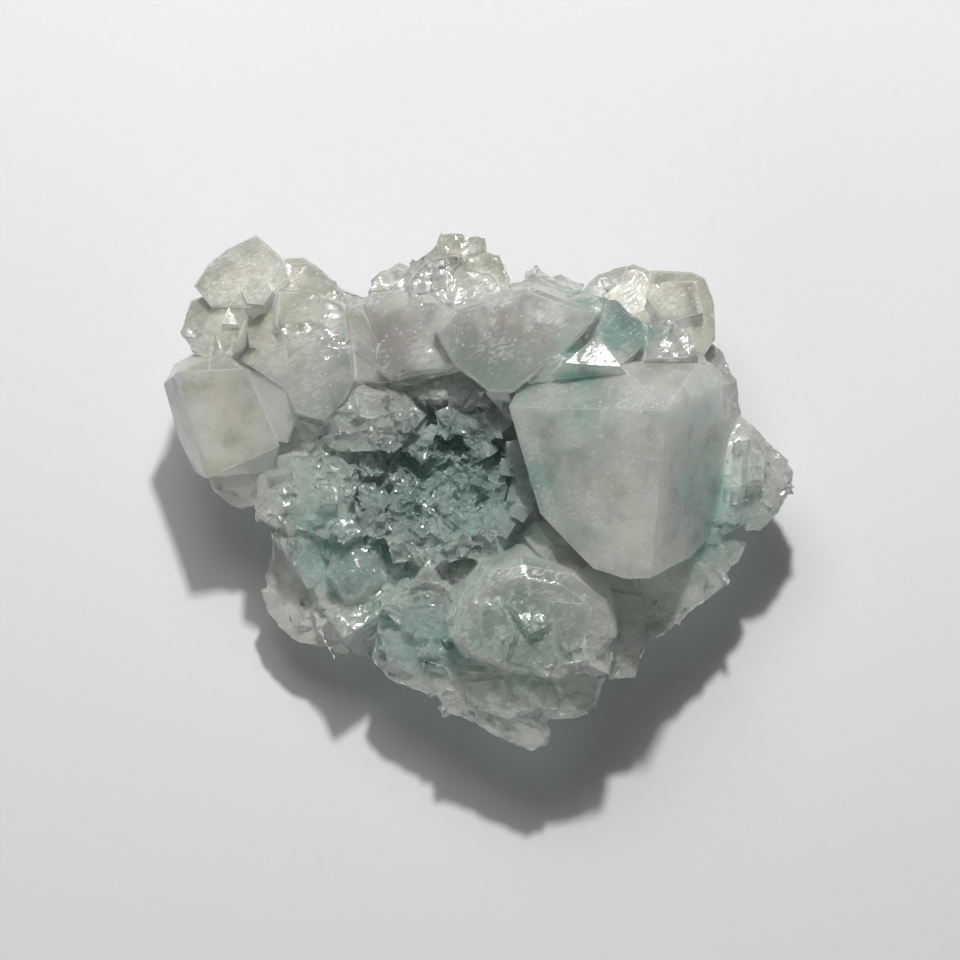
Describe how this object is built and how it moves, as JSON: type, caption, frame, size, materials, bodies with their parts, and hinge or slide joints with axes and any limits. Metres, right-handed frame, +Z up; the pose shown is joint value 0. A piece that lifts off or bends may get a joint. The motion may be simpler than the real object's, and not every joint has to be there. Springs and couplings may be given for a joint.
{
  "type": "fluorite specimen",
  "caption": "Intergrown cluster of translucent pale green fluorite, with cube-shaped crystals round a hollow and a flat broken base.",
  "frame": {"origin": "middle of the bounding box, on the surface that the cluster rests on", "axes": "+Z up from the flat broken base, +X along the cluster's longest way, towards the large cube"},
  "size_m": [0.079, 0.0654, 0.036],
  "materials": {
    "fluorite": "frosted, translucent"
  },
  "bodies": {
    "root": {"fluorite_cluster": "fluorite"}
  },
  "joints": []
}
